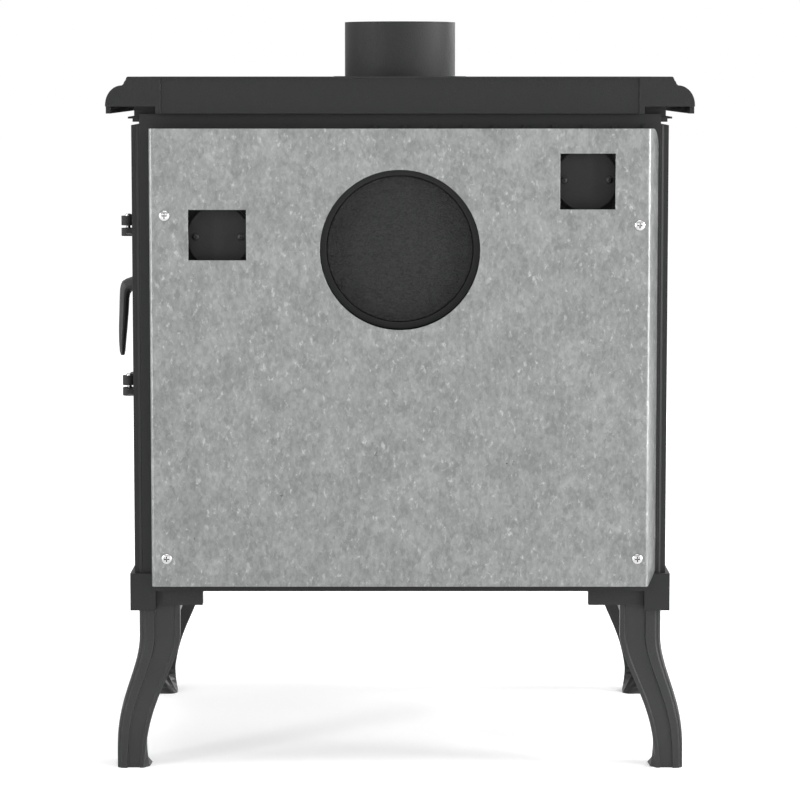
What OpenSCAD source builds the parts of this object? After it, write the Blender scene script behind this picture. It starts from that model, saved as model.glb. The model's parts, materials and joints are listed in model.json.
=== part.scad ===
// Cast iron wood stove on four cabriole legs, with a side loading door and a galvanised rear heat shield.
// Millimetres, +Z up, floor at z = 0. The glazed front door faces -Y and the heat shield faces +Y.

/* [Body] */
// Width across the two side panels
body_w = 596.8; // [560:0.2:640]
// Depth from the front frame's face to the back plate's face
body_d = 368; // [350:1:400]
// Height of the side panels
panel_h = 514.1; // [500:0.1:540]
// Thickness of a side panel
panel_t = 9; // [8:0.5:10]
// Thickness of the back plate
back_t = 8; // [7:0.5:10]
// Thickness of the front frame
front_t = 12; // [10:0.5:14]
// Depth of the plain field sunk into the left side panel
field_sink = 2.5; // [1:0.5:4]
// Width of the border round that field
field_border = 34; // [25:1:45]
// Width of a ledge inside a side panel
ledge_w = 10; // [9:0.5:11]
// Height of a ledge inside a side panel
ledge_h = 8; // [6:0.5:10]

/* [Base and legs] */
// Height of the corner blocks' undersides above the floor
leg_h = 176.6; // [150:0.1:200]
// Thickness of the bottom plate
base_t = 8; // [6:0.5:10]
// How far the corner blocks hang below the tops of the legs
block_drop = 5; // [3:0.5:6]
// Height from the corner blocks' undersides to the bottom plate
bracket_h = 21.9; // [18:0.1:26]
// How far the plinth stands out past the side panels
plinth_out = 4.5; // [3.5:0.5:6]
// How far the corner blocks stand out past the back plate and the front frame
block_out = 6; // [4.5:0.5:7]
// Height of the plinth's rim above the bottom plate
plinth_rise = 12; // [9:0.5:12.5]
// Width of a corner block
block_w = 28.5; // [24:0.5:32]
// Length of a right leg bracket past its corner block
bracket_right_l = 52.2; // [45:0.1:60]
// Length of a left leg bracket past its corner block
bracket_left_l = 62.2; // [50:0.1:70]
// Depth of a leg bracket over the leg
bracket_d = 56; // [50:1:70]
// Length of that deep part, from the corner block inwards
bracket_pad_l = 30; // [26:0.5:36]
// Depth of a leg bracket's arm past that part
bracket_arm_d = 14; // [10:0.5:18]
// How far a leg's top stands in from the corner block's faces
leg_inset = 8.7; // [6:0.1:12]
// How far the leg's curve carries the foot outwards
leg_spread = 23.4; // [15:0.1:30]
// Width of each leg wing at the top
wing_top_w = 46.2; // [40:0.1:50]
// Width of each leg wing just above the floor
wing_foot_w = 29; // [24:0.5:34]
// Thickness of a leg wing
wing_t = 9; // [7:0.5:11]
// Width of the foot pad inside the corner of the leg
foot_pad_w = 37; // [34:0.5:40]
// Height over which the leg spreads into its foot pad
foot_pad_h = 33; // [20:1:40]
// Height of the straight part at the foot of the leg
foot_straight_h = 17; // [10:1:25]
// Height of the straight part at the top of the leg
leg_straight_h = 31.6; // [20:0.1:40]
// Thickness of the leg's top pad
leg_pad_t = 8; // [6:0.5:10]
// Radius of the leg bolts
leg_bolt_r = 4; // [3:0.5:5]

/* [Top plate] */
// Overall height of the top plate's moulded edge
plate_h = 40.8; // [36:0.1:46]
// Thickness of the top plate
plate_t = 8; // [6:0.5:10]
// How far the moulded edge overhangs the sides and the front
plate_out = 27.1; // [22:0.1:32]
// How far the plate overhangs the back plate
plate_rear_out = 12; // [8:0.5:16]
// Width of the whole moulded edge
edge_w = 25.5; // [22:0.5:30]
// Width of the small bead at the top of the edge
bead_w = 6.8; // [5:0.1:9]
// Height of the small bead at the top of the edge
bead_h = 9.6; // [8:0.1:11]
// Height of the large quarter round under the bead
ovolo_h = 21.7; // [18:0.1:24]
// Thickness of the moulded lip
lip_t = 5; // [4:0.5:6]
// Thickness of the rear web and of the neck
web_t = 6; // [4.5:0.5:7]
// Height of the rear web at its two ends
web_end_h = 32.9; // [28:0.1:36]
// Half width of the rear web's deeper middle
web_mid_half = 270; // [240:1:275]
// Width of the foot at each end of the rear web's middle
web_foot_w = 5.6; // [4:0.1:8]
// How far the rear web's middle is set forward of its ends
web_step = 1.5; // [0.5:0.5:2.5]
// How far the neck is set in from the side panels
neck_in = 3; // [2:0.5:4]
// Height of the open seam between the side panels and the top frame
seam_h = 3.5; // [2:0.1:5]
// Thickness of the top frame's flange
flange_t = 3.6; // [3:0.1:5]
// How far that flange is set in from the side panels
flange_in = 1.2; // [0.6:0.1:2]
// Thickness of the sheet between the top frame and the top plate
sheet_t = 2.1; // [1.5:0.1:3]
// How far that sheet shows past the side panels
sheet_out = 4; // [2:0.5:6]
// Height of the neck, from the sheet to the underside of the plate
neck_h = 36.4; // [32.9:0.1:42]
// Width of the rib under the top frame
rib_w = 8; // [6:0.5:9]

/* [Flue] */
// Outer diameter of the flue collar
collar_d = 125; // [115:1:135]
// Wall of the flue collar
collar_wall = 6; // [4:0.5:8]
// Height of the flue collar above the top plate
collar_h = 61.2; // [50:0.1:80]
// Diameter of the collar's flange
collar_flange_d = 150.5; // [148:0.5:160]
// Thickness of the collar's flange
collar_flange_t = 5; // [4:0.5:6]
// How far the flange stands above the top plate
collar_flange_rise = 0.5; // [0.3:0.1:1]
// Distance from the back plate's face to the collar's axis
collar_in = 80; // [79:1:100]
// Thread radius of the collar screws
collar_screw_r = 2.5; // [2:0.1:2.8]
// Height of the rear flue outlet's centre above the floor
outlet_z = 583.6; // [560:0.2:600]
// Outer diameter of the outlet's rim
outlet_rim_d = 178; // [177.4:0.2:180]
// Diameter of the blanking disc in the outlet
outlet_disc_d = 162; // [155:0.5:168]
// Diameter of the hole behind the blanking disc
outlet_hole_d = 144; // [130:1:148]
// Thickness of the blanking disc and height of the rim
outlet_t = 6; // [4:0.5:8]
// Gap round the blanking disc
outlet_gap = 0.8; // [0.5:0.1:1.2]

/* [Heat shield] */
// Distance from the back plate's face to the shield's outer face
shield_off = 30; // [28:0.5:36]
// Thickness of the shield's sheet
shield_t = 1.5; // [1:0.1:2]
// Width of the shield across its two bends
shield_w = 553; // [540:0.5:556]
// Height of the shield
shield_h = 509.2; // [495:0.1:512]
// Height of the shield's lower edge above the bottom plate's face
shield_lift = 1.6; // [1:0.1:3]
// Outer radius of the shield's bends
shield_bend_r = 4; // [3:0.5:6]
// Angle by which the left side flange leans outwards
shield_lean_left = 22; // [10:0.5:24]
// Angle by which the right side flange leans outwards
shield_lean_right = 2; // [1:0.5:5]
// Gap between the flanges' edges and the back plate
shield_edge_gap = 2; // [1:0.5:4]
// Height of the cut at the flanges' lower corners
shield_cut_h = 13; // [11:0.5:20]
// Radius of the flanges' upper corners
shield_corner_r = 19; // [12:0.5:20]
// Diameter of the shield's round opening
shield_hole_d = 177; // [170:0.5:177.2]
// Radius of a shield screw's head
shield_head_r = 6; // [5:0.1:7]
// Height of a shield screw's head
shield_head_h = 3.6; // [3:0.1:5]
// Thread radius of a shield screw
shield_screw_r = 3; // [2.5:0.1:3.5]
// Outer radius of the tubular spacers behind the shield
spacer_r = 6; // [5:0.5:8]
// Distance of the right screws from the middle
screw_right_x = 259.5; // [250:0.5:264]
// Distance of the left screws from the middle
screw_left_x = 264; // [250:0.5:266]
// Height of the lower screws above the floor
screw_low_z = 239.6; // [232:0.2:260]
// Height of the upper right screw above the floor
screw_right_z = 621.5; // [600:0.5:640]
// Height of the upper left screw above the floor
screw_left_z = 611; // [600:0.5:640]

/* [Pipe ports] */
// Radius of a port's round cover
port_cover_r = 35; // [32:0.5:38]
// Thickness of a port's cover
port_cover_t = 5; // [4:0.5:7]
// Radius of the hole behind a port's cover
port_hole_r = 17; // [12:0.5:19]
// Distance between the two screws of a cover
port_screw_gap = 50; // [48:0.5:56]
// Thread radius of a port screw
port_screw_r = 2.5; // [2:0.1:3]
// Radius of a port screw's head
port_head_r = 3.9; // [3.5:0.1:4.5]
// Height of a port screw's head
port_head_h = 2.6; // [2:0.1:3.5]
// Distance of the right port from the middle
port_right_x = 201.5; // [190:0.5:210]
// Height of the right port above the floor
port_right_z = 597; // [580:0.5:610]
// Distance of the left port from the middle
port_left_x = 206.6; // [195:0.5:215]
// Height of the left port above the floor
port_left_z = 660; // [640:0.5:670]
// Width of the right port's window in the shield
window_right_w = 63.9; // [58:0.1:70]
// Height of the right port's window in the shield
window_right_h = 55.6; // [50:0.1:65]
// How far that window's middle lies above the port's
window_right_up = 3.2; // [2:0.1:4]
// Width of the left port's window in the shield
window_left_w = 60.9; // [58:0.1:70]
// Height of the left port's window in the shield
window_left_h = 61.4; // [56:0.1:65]
// How far that window's middle lies below the port's
window_left_down = 0.8; // [0:0.1:2]
// Number of upright ribs on the left of the back plate
rib_count = 10; // [4:1:10]
// Distance of the first rib from the middle
rib_first_x = 27.8; // [20:0.1:36]
// Distance from the last rib to the side of the body's inside
rib_last_in = 18.4; // [12:0.1:26]
// Width of a rib
fin_w = 4.4; // [3:0.1:6]
// Height of a rib above the back plate
fin_h = 4; // [2:0.5:6]

/* [Side door] */
// Height of the side door
side_door_h = 280; // [260:1:282]
// Width of the side door
side_door_w = 276; // [260:1:278]
// Height of the side door's lower edge above the floor
side_door_z = 375; // [372:1:378]
// Distance from the back plate's face to the side door's hinged edge
side_door_in = 53; // [50:0.5:56]
// How far the side door stands out past the panel
side_door_out = 4; // [2:0.5:4.5]
// Gap round a door in its opening
door_gap = 1.5; // [1:0.1:2.5]
// Width of the rebate behind the side door
rebate_w = 8; // [7:0.5:10]
// How far the rebate's ring reaches past the opening
rebate_grip = 9; // [6:0.5:9.5]
// Width and depth of the door ropes
rope_w = 6; // [5:0.5:6]
// Radius of the side door's hinge knuckles
side_knuckle_r = 7.7; // [6.5:0.1:8]
// Distance of the side hinge axis from the panel's face
side_axis_out = 8.2; // [8.1:0.1:9]
// Distance from the side door's hinged edge to the hinge axis
side_axis_in = 8; // [7.8:0.1:10]
// Radius of the hinge pins
pin_r = 2.5; // [2:0.1:3]
// Height of a hinge knuckle on a door
knuckle_door_h = 10.7; // [9:0.1:13]
// Height of a hinge knuckle on the stove
knuckle_frame_h = 9; // [8:0.1:12]
// Open gap between the two knuckles of a hinge
knuckle_gap = 3; // [2:0.1:4]
// Height of the side door's lower hinge gap above the floor
side_hinge_low_z = 423.2; // [415:0.2:440]
// Distance between the side door's hinges
side_hinge_gap = 181; // [160:1:190]
// Length of a hinge arm along its door or panel
hinge_arm_l = 30; // [20:1:36]
// Thickness of a hinge arm
hinge_arm_t = 6; // [4:0.5:7]

/* [Handles] */
// Height of the side handle's hub above the floor
side_hub_z = 523.2; // [500:0.2:560]
// Distance of the side handle's hub from the front frame's face
side_hub_in = 69; // [62:1:80]
// How far a handle reaches out from its door
grip_reach = 37.3; // [32:0.1:42]
// How far a handle hangs below its hub
grip_drop = 88.8; // [75:0.1:100]
// Radius of a handle's hub
hub_r = 10.6; // [9:0.1:12]
// Radius of a handle's shaft
shaft_r = 6; // [5:0.1:7]
// Thickness of a latch tongue
tongue_t = 6; // [4:0.5:7]
// Length of a latch tongue from its shaft
tongue_l = 30; // [28:0.5:31]
// Width of a latch tongue
tongue_w = 12; // [10:0.5:15]
// Radius of a latch tongue's eye
tongue_eye_r = 10; // [9:0.5:12]

/* [Front] */
// Width of the front door
front_door_w = 444; // [430:1:450]
// Height of the front door
front_door_h = 397; // [380:1:400]
// Height of the front door's lower edge above the floor
front_door_z = 284; // [280:1:290]
// Thickness of the front door
front_door_t = 12; // [10:0.5:14]
// How far the front door laps over the frame round its opening
front_lap = 17; // [15:0.5:20]
// Width of the door's border round the glass
front_border = 62; // [56:1:70]
// Height of the raised bead round the glass
bead_h_front = 3; // [2:0.5:4]
// Width of the raised bead round the glass
bead_w_front = 10; // [6:0.5:14]
// Thickness of the glass
glass_t = 4; // [3:0.5:5]
// How far the glass laps behind the door's border
glass_lap = 12; // [8:0.5:15]
// Radius of a knuckle on the front door's hinges
front_knuckle_r = 8; // [7:0.1:8.5]
// Distance from the front door's edge to its hinge axis
front_axis_off = 10; // [9.5:0.1:12]
// Height of the lower front hinge's gap above the floor
front_hinge_low_z = 350; // [330:1:380]
// Distance between the front hinges
front_hinge_gap = 250; // [220:1:260]
// Distance of the front handle's shaft inside the frame's opening
front_hub_in = 15; // [13:0.5:20]
// Height of the front handle's hub above the floor
front_hub_z = 490; // [450:1:520]
// Width of the ash drawer's front
drawer_w = 324; // [310:1:330]
// Height of the ash drawer's front
drawer_h = 57; // [54:0.5:58]
// Thickness of the ash drawer's front
drawer_t = 12; // [10:0.5:14]
// Height of the ash drawer's front above the bottom plate
drawer_lift = 13.3; // [13:0.1:16]
// Width of the ash pan
pan_w = 276; // [260:1:280]
// Depth of the ash pan
pan_d = 270; // [240:1:275]
// Height of the ash pan
pan_h = 27; // [22:0.5:27]
// Thickness of the ash pan's sheet
pan_t = 2; // [1.5:0.1:2]
// Radius of a turned knob
knob_r = 11; // [9:0.5:12]
// Length of a turned knob
knob_l = 22; // [18:0.5:26]
// Thickness of an air slide
slide_t = 3; // [2:0.1:4]
// Height of an air slide
slide_h = 18; // [17:0.5:20]
// Radius of the air holes
air_hole_r = 6; // [5:0.1:6]
// Distance between neighbouring air holes
air_pitch = 36; // [32:0.5:38]
// Depth of the ash lip
lip_d = 45; // [35:1:60]
// Width of the ash lip
ash_lip_w = 400; // [360:2:440]
// Thickness of the ash lip
ash_lip_t = 8; // [6:0.5:8]

/* [Firebox] */
// Height of the grate's top above the floor
grate_z = 288; // [284:0.5:292]
// Thickness of the grate frame
grate_t = 12; // [10:0.5:14]
// Width of the riddling grate
riddle_w = 236; // [220:1:240]
// Depth of the riddling grate
riddle_d = 190; // [170:1:195]
// Width of a slot in the grate
slot_w = 12; // [9:0.5:13]
// How far the riddling grate travels
riddle_travel = 15; // [10:1:15]
// Radius of the riddling rod
riddle_rod_r = 5; // [4:0.5:6]
// Distance of the riddling rod past the ash drawer's edge
riddle_rod_out = 26; // [21:1:33]
// Height of the riddling rod above the floor
riddle_rod_z = 266; // [262:0.5:267]
// Thickness of the firebricks
brick_t = 25; // [20:0.5:27]
// Height of the left firebricks
brick_left_h = 260; // [220:1:300]
// Height of the right firebricks
brick_right_h = 74; // [60:1:74]
// Length of a row of side firebricks
brick_row_l = 236; // [220:1:250]
// Width of the row of back firebricks
brick_back_w = 510; // [480:1:514]
// Gap between the back firebricks and the back plate
flueway = 31; // [28:0.5:36]
// Thickness of the baffle plate
baffle_t = 12; // [10:0.5:14]
// Height of the baffle plate's underside above the floor
baffle_z = 678; // [676:0.5:682]
// Depth of the baffle plate
baffle_d = 215; // [180:1:230]
// Height of the log fence
fence_h = 56; // [40:1:60]
// Radius of the tie rods
rod_r = 4; // [3:0.5:5]

/* [Hidden] */

// Clearance between pieces that do not move against each other
fit = 0.1;
// Clearance between pieces that slide or swing past each other
run_gap = 0.3;
// Radial clearance of a pin or shaft that turns in its bore
pin_gap = 0.05;
// How far the seats under a knob and round the rod stand out
seat_out = 2;
// Height over which a leg closes into its top pad
pad_ease = 1;
// How far the glass lies inside the front door's back
glass_set = 1;
// How far a cut runs past the face it leaves, and a joined piece into its neighbour
over = 1;
// Sides of a smooth round
fine = 64;
// Sides of a small round
small = 32;

half_w = body_w / 2;
front_y = -body_d / 2;
rear_y = body_d / 2;
inner_x = half_w - panel_t;
frame_y = front_y + front_t;
inner_y = rear_y - back_t;
leg_top = leg_h + block_drop;
base_z = leg_h + bracket_h;
floor_z = base_z + base_t;
panel_z = floor_z + panel_h;
flange_z = panel_z + seam_h;
sheet_z = flange_z + flange_t;
neck_z = sheet_z + sheet_t;
plate_under_z = neck_z + neck_h;
plate_z = plate_under_z + plate_t;
lip_z = plate_z - plate_h;
plinth_half = half_w + plinth_out;
block_y = rear_y + block_out;
neck_half = half_w - neck_in;
neck_inner = neck_half - web_t;
rib_half = inner_x - fit;
collar_y = rear_y - collar_in;
iron = [0.21, 0.21, 0.215];
dark_iron = [0.15, 0.15, 0.155];
bright = [0.8, 0.81, 0.82];
zinc = [0.63, 0.65, 0.65];
brick = [0.72, 0.64, 0.52];
rope_grey = [0.25, 0.25, 0.24];

// A block between its limits along each axis.
module span(x, y, z) {
  translate([x[0], y[0], z[0]])
    cube([x[1] - x[0], y[1] - y[0], z[1] - z[0]]);
}

// A round bar along each axis.
module rod_x(x, y, z, r, sides = small) {
  translate([x[0], y, z])
    rotate([0, 90, 0])
      cylinder(h = x[1] - x[0], r = r, $fn = sides);
}
module rod_y(x, y, z, r, sides = small) {
  translate([x, y[0], z])
    rotate([-90, 0, 0])
      cylinder(h = y[1] - y[0], r = r, $fn = sides);
}
module rod_z(x, y, z, r, sides = small) {
  translate([x, y, z[0]])
    cylinder(h = z[1] - z[0], r = r, $fn = sides);
}

// An outline drawn in X and Z, swept along Y, and one drawn in Y and Z, swept along X.
module sweep_y(y) {
  translate([0, y[1], 0])
    rotate([90, 0, 0])
      linear_extrude(y[1] - y[0])
        children();
}
module sweep_x(x) {
  translate([x[0], 0, 0])
    rotate([90, 0, 90])
      linear_extrude(x[1] - x[0])
        children();
}

// A closed skin through rings of points that all have the same count, with a middle for each end.
module loft(rings, low, high) {
  n = len(rings[0]);
  last = len(rings) - 1;
  points = concat([for (ring = rings) for (p = ring) p], [low, high]);
  sides = [for (k = [0 : last - 1]) for (i = [0 : n - 1]) for (half = [0, 1])
    half == 0
      ? [k * n + i, k * n + (i + 1) % n, (k + 1) * n + (i + 1) % n]
      : [k * n + i, (k + 1) * n + (i + 1) % n, (k + 1) * n + i]];
  caps = [for (i = [0 : n - 1]) for (top = [0, 1])
    top == 0
      ? [(i + 1) % n, i, (last + 1) * n]
      : [last * n + i, last * n + (i + 1) % n, (last + 1) * n + 1]];
  polyhedron(points = points, faces = concat(sides, caps), convexity = 4);
}

module on_both_sides() {
  children();
  mirror([1, 0, 0])
    children();
}

// Moulded edge of the top plate, from its top downwards: a small bead, a quarter round and a drop.
bead_out_shares = [0, 0.16, 0.3, 0.4, 0.62, 0.76, 0.97];
bead_down_shares = [0, 0.03, 0.2, 0.41, 0.6, 0.86, 0.97];
ovolo_w = edge_w - bead_w;
ovolo_steps = 12;
function edge_outline(reach, top) = concat(
  [for (i = [0 : len(bead_out_shares) - 1])
    [reach - edge_w + bead_w * bead_out_shares[i], top - bead_h * bead_down_shares[i]]],
  [for (i = [0 : ovolo_steps])
    let (a = 90 * i / ovolo_steps)
      [reach - ovolo_w + ovolo_w * sin(a), top - bead_h - ovolo_h * (1 - cos(a))]],
  [[reach, top - plate_h]]);
// Hollow under the moulded edge, one lip's thickness inside it.
function hollow_outline(reach, top) = [
  [reach - edge_w - lip_t, top - plate_t],
  [reach - edge_w, top - plate_t - lip_t / 2],
  [reach - ovolo_w / 2 - lip_t, top - bead_h - lip_t],
  [reach - ovolo_w / 4 - lip_t, top - bead_h - 2 * lip_t],
  [reach - lip_t, top - bead_h - ovolo_h],
  [reach - lip_t, top - plate_h - over]];
function mirrored(points) = [for (i = [len(points) - 1 : -1 : 0]) [-points[i][0], points[i][1]]];
plate_half = half_w + plate_out;
plate_front = -front_y + plate_out;
plate_rear = rear_y + plate_rear_out;

module moulded_block(outline_x, outline_y, rear, x, y) {
  intersection() {
    sweep_y(y)
      polygon(concat(outline_x, mirrored(outline_x)));
    sweep_x(x)
      polygon(concat(mirrored(outline_y), rear));
  }
}

module collar_screw_places() {
  for (a = [90 : 120 : 330])
    translate([0, collar_y, 0])
      rotate([0, 0, a])
        translate([collar_d / 4 + collar_flange_d / 4, 0, 0])
          children();
}

tie_in = 16;
tie_x = neck_inner - tie_in;
tie_y = inner_y - tie_in - rod_r;
module tie_places() {
  for (x = [-tie_x, tie_x])
    for (y = [-tie_y + front_t - back_t, tie_y])
      translate([x, y, 0])
        children();
}

collar_seat_z = plate_z + collar_flange_rise - collar_flange_t;
collar_boss_h = 6;
tie_boss_h = 16;
tie_boss_r = 9;
module top_plate() {
  web_z = [plate_z - web_end_h, plate_z - bead_h];
  color(iron)
    difference() {
      union() {
        difference() {
          moulded_block(edge_outline(plate_half, plate_z), edge_outline(plate_front, plate_z),
            [[plate_rear, plate_z], [plate_rear, lip_z]],
            [-plate_half - over, plate_half + over], [-plate_front - over, plate_rear]);
          moulded_block(hollow_outline(plate_half, plate_z), hollow_outline(plate_front, plate_z),
            [[plate_rear - web_t, plate_under_z], [plate_rear - web_t, lip_z - over]],
            [-plate_half - over, plate_half + over], [-plate_front - over, plate_rear + over]);
          // The rear web is shallow at its ends.
          on_both_sides()
            span([web_mid_half, plate_half + over], [plate_rear - web_t - over, plate_rear + over],
              [lip_z - over, plate_z - web_end_h]);
          // Its middle lies a step further forward.
          span([-web_mid_half + web_foot_w, web_mid_half - web_foot_w],
            [plate_rear - web_step, plate_rear + over],
            [lip_z - over, plate_z - web_step]);
        }
        // The neck stands on the sheet below.
        difference() {
          span([-neck_half, neck_half], [front_y + neck_in, inner_y], [neck_z, plate_under_z]);
          span([-neck_inner, neck_inner], [front_y + neck_in + web_t, inner_y - web_t],
            [neck_z - over, plate_under_z]);
        }
        rod_z(0, collar_y, [plate_under_z - collar_boss_h, plate_under_z + over],
          collar_flange_d / 2 + web_t / 2, fine);
        tie_places()
          rod_z(0, 0, [plate_under_z - tie_boss_h, plate_under_z + over], tie_boss_r);
      }
      rod_z(0, collar_y, [plate_under_z - collar_boss_h - over, plate_z + over],
        collar_d / 2 - collar_wall, fine);
      rod_z(0, collar_y, [collar_seat_z, plate_z + over], collar_flange_d / 2 + fit, fine);
      collar_screw_places()
        rod_z(0, 0, [plate_under_z - collar_boss_h - over, plate_z], collar_screw_r + pin_gap);
      tie_places()
        rod_z(0, 0, [plate_under_z - tie_boss_h - over, plate_under_z], rod_r + pin_gap);
    }
}

module flue_collar() {
  inside = collar_d / 2 - collar_wall;
  rim_z = plate_z + collar_h;
  color(iron)
    difference() {
      union() {
        rod_z(0, collar_y, [collar_seat_z, collar_seat_z + collar_flange_t], collar_flange_d / 2, fine);
        rod_z(0, collar_y, [collar_seat_z, rim_z], collar_d / 2, fine);
      }
      rod_z(0, collar_y, [collar_seat_z - over, rim_z + over], inside, fine);
      collar_screw_places() {
        rod_z(0, 0, [collar_seat_z - over, plate_z + over], collar_screw_r + pin_gap);
        translate([0, 0, plate_z + collar_flange_rise - collar_screw_r])
          cylinder(h = collar_screw_r + fit, r1 = collar_screw_r + pin_gap,
            r2 = 2 * collar_screw_r + pin_gap + fit, $fn = small);
      }
    }
}

module collar_screws() {
  color(dark_iron)
    collar_screw_places() {
      rod_z(0, 0, [plate_under_z - collar_boss_h, plate_z + collar_flange_rise - collar_screw_r],
        collar_screw_r);
      translate([0, 0, plate_z + collar_flange_rise - collar_screw_r])
        cylinder(h = collar_screw_r, r1 = collar_screw_r, r2 = 2 * collar_screw_r, $fn = small);
    }
}

module seal_sheet() {
  color(dark_iron)
    difference() {
      span([-half_w - sheet_out, half_w + sheet_out], [front_y - sheet_out, inner_y - fit],
        [sheet_z, neck_z]);
      span([-rib_half + rib_w, rib_half - rib_w], [frame_y + rib_w + fit, inner_y - rib_w - fit],
        [sheet_z - over, neck_z + over]);
    }
}

top_rib_h = 11.5;
module top_frame() {
  color(iron)
    difference() {
      union() {
        span([-half_w + flange_in, half_w - flange_in], [front_y + flange_in, inner_y - fit],
          [flange_z, sheet_z]);
        span([-rib_half, rib_half], [frame_y + fit, inner_y - fit], [flange_z - top_rib_h, flange_z]);
      }
      span([-rib_half + rib_w, rib_half - rib_w], [frame_y + rib_w + fit, inner_y - rib_w - fit],
        [flange_z - top_rib_h - over, sheet_z + over]);
    }
}

port_places = [[-port_left_x, port_left_z], [port_right_x, port_right_z]];
module back_plate() {
  rib_pitch = (inner_x - rib_last_in + rib_first_x) / (rib_count - 1);
  color(iron)
    difference() {
      union() {
        span([-inner_x + fit, inner_x - fit], [inner_y, rear_y], [floor_z, lip_z - run_gap]);
        rod_y(0, [inner_y, rear_y + outlet_t], outlet_z, outlet_rim_d / 2, 2 * fine);
        for (k = [0 : rib_count - 1])
          span([rib_first_x - k * rib_pitch - fin_w / 2, rib_first_x - k * rib_pitch + fin_w / 2],
            [rear_y - over, rear_y + fin_h], [floor_z + plinth_rise + over, panel_z]);
        for (p = port_places)
          rod_y(p[0], [rear_y - over, rear_y + fin_h], p[1], port_cover_r + 2 * over, fine);
      }
      rod_y(0, [rear_y, rear_y + outlet_t + over], outlet_z, outlet_disc_d / 2 + outlet_gap, 2 * fine);
      rod_y(0, [inner_y - over, rear_y + over], outlet_z, outlet_hole_d / 2, fine);
      for (p = port_places) {
        rod_y(p[0], [inner_y - over, rear_y + fin_h + over], p[1], port_hole_r);
        for (dx = [-port_screw_gap / 2, port_screw_gap / 2])
          rod_y(p[0] + dx, [inner_y - over, rear_y + fin_h + over], p[1], port_screw_r + pin_gap);
      }
      shield_places() {
        rod_y(0, [inner_y - over, rear_y + over], 0, shield_screw_r + pin_gap);
        // The ribs are cleared round each spacer.
        rod_y(0, [rear_y, rear_y + fin_h + over], 0, spacer_r + run_gap);
      }
    }
}

module shield_places() {
  for (p = [[screw_right_x, screw_right_z], [screw_right_x, screw_low_z],
      [-screw_left_x, screw_left_z], [-screw_left_x, screw_low_z]])
    translate([p[0], 0, p[1]])
      children();
}

// Rear edge of a side panel: a plain inner strip, then a bevel and a narrower outer strip.
edge_strip_share = 0.6;
edge_bevel_share = 0.24;
edge_step = 3;
ledge_end = 22;
module panel_body() {
  strip_x = half_w - panel_t * edge_strip_share;
  difference() {
    union() {
      span([inner_x, half_w], [frame_y + fit, rear_y], [floor_z, panel_z]);
      // Ledges that carry the top frame and the grate
      for (z = [flange_z - top_rib_h, grate_z - grate_t])
        span([inner_x - ledge_w, inner_x + over], [frame_y + ledge_end, inner_y - ledge_end],
          [z - ledge_h, z]);
    }
    translate([0, 0, floor_z - over])
      linear_extrude(panel_h + 2 * over)
        polygon([[half_w + over, rear_y + over], [strip_x - panel_t * edge_bevel_share, rear_y + over],
          [strip_x - panel_t * edge_bevel_share, rear_y], [strip_x, rear_y - edge_step],
          [half_w + over, rear_y - edge_step]]);
  }
}

module left_side_panel() {
  color(iron)
    mirror([1, 0, 0])
      difference() {
        panel_body();
        span([half_w - field_sink, half_w + over],
          [frame_y + field_border, rear_y - field_border],
          [floor_z + field_border, panel_z - field_border]);
      }
}

side_door_y = [rear_y - side_door_in - side_door_w, rear_y - side_door_in];
side_door_zs = [side_door_z, side_door_z + side_door_h];
side_door_xs = [inner_x + run_gap, half_w + side_door_out];
side_axis_x = half_w + side_axis_out;
side_axis_y = side_door_y[1] + side_axis_in;
side_hinge_zs = [side_hinge_low_z, side_hinge_low_z + side_hinge_gap];
module right_side_panel() {
  color(iron)
    difference() {
      union() {
        difference() {
          union() {
            panel_body();
            // Ring of the rebate that the door's rope closes on
            span([inner_x - rebate_w, inner_x + over],
              [side_door_y[0] - rebate_grip, side_door_y[1] + rebate_grip],
              [side_door_zs[0] - rebate_grip, side_door_zs[1] + rebate_grip]);
          }
          span([inner_x, half_w + over], [side_door_y[0] - door_gap, side_door_y[1] + door_gap],
            [side_door_zs[0] - door_gap, side_door_zs[1] + door_gap]);
          span([inner_x - rebate_w - over, half_w], [side_door_y[0] + rebate_w, side_door_y[1] - rebate_w],
            [side_door_zs[0] + rebate_w, side_door_zs[1] - rebate_w]);
        }
        for (z = side_hinge_zs) {
          rod_z(side_axis_x, side_axis_y, [z - knuckle_frame_h, z], side_knuckle_r, fine);
          sweep_x([half_w - over, side_axis_x])
            polygon([[side_axis_y, z], [side_axis_y + hinge_arm_l, z],
              [side_axis_y + hinge_arm_l, z - knuckle_frame_h / 2], [side_axis_y, z - knuckle_frame_h]]);
        }
      }
      for (z = side_hinge_zs)
        rod_z(side_axis_x, side_axis_y, [z - knuckle_frame_h - over, z + over], pin_r + pin_gap);
    }
}

front_door_x = [-front_door_w / 2, front_door_w / 2];
front_door_zs = [front_door_z, front_door_z + front_door_h];
front_axis_x = front_door_x[0] - front_axis_off;
front_axis_y = front_y - front_knuckle_r - run_gap;
front_hinge_zs = [front_hinge_low_z, front_hinge_low_z + front_hinge_gap];
front_door_y = [front_y - run_gap - front_door_t, front_y - run_gap];
riddle_rod_x = drawer_w / 2 + riddle_rod_out;
drawer_y = [front_y - run_gap - drawer_t, front_y - run_gap];
drawer_zs = [floor_z + drawer_lift - fit, floor_z + drawer_lift + drawer_h];
pan_z = floor_z + plinth_rise + run_gap;
pan_opening_gap = 4;
rail_t = 2;
slide_down_share = 0.6;
airwash_z = front_door_zs[1] + slide_h + rail_t;
primary_z = drawer_zs[1] - rail_t - slide_h * slide_down_share;
airwash_count = 5;
primary_count = 3;

module hole_row(count, y, z, r, shift = 0) {
  for (k = [0 : count - 1])
    rod_y((k - (count - 1) / 2) * air_pitch + shift, y, z, r);
}
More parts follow.
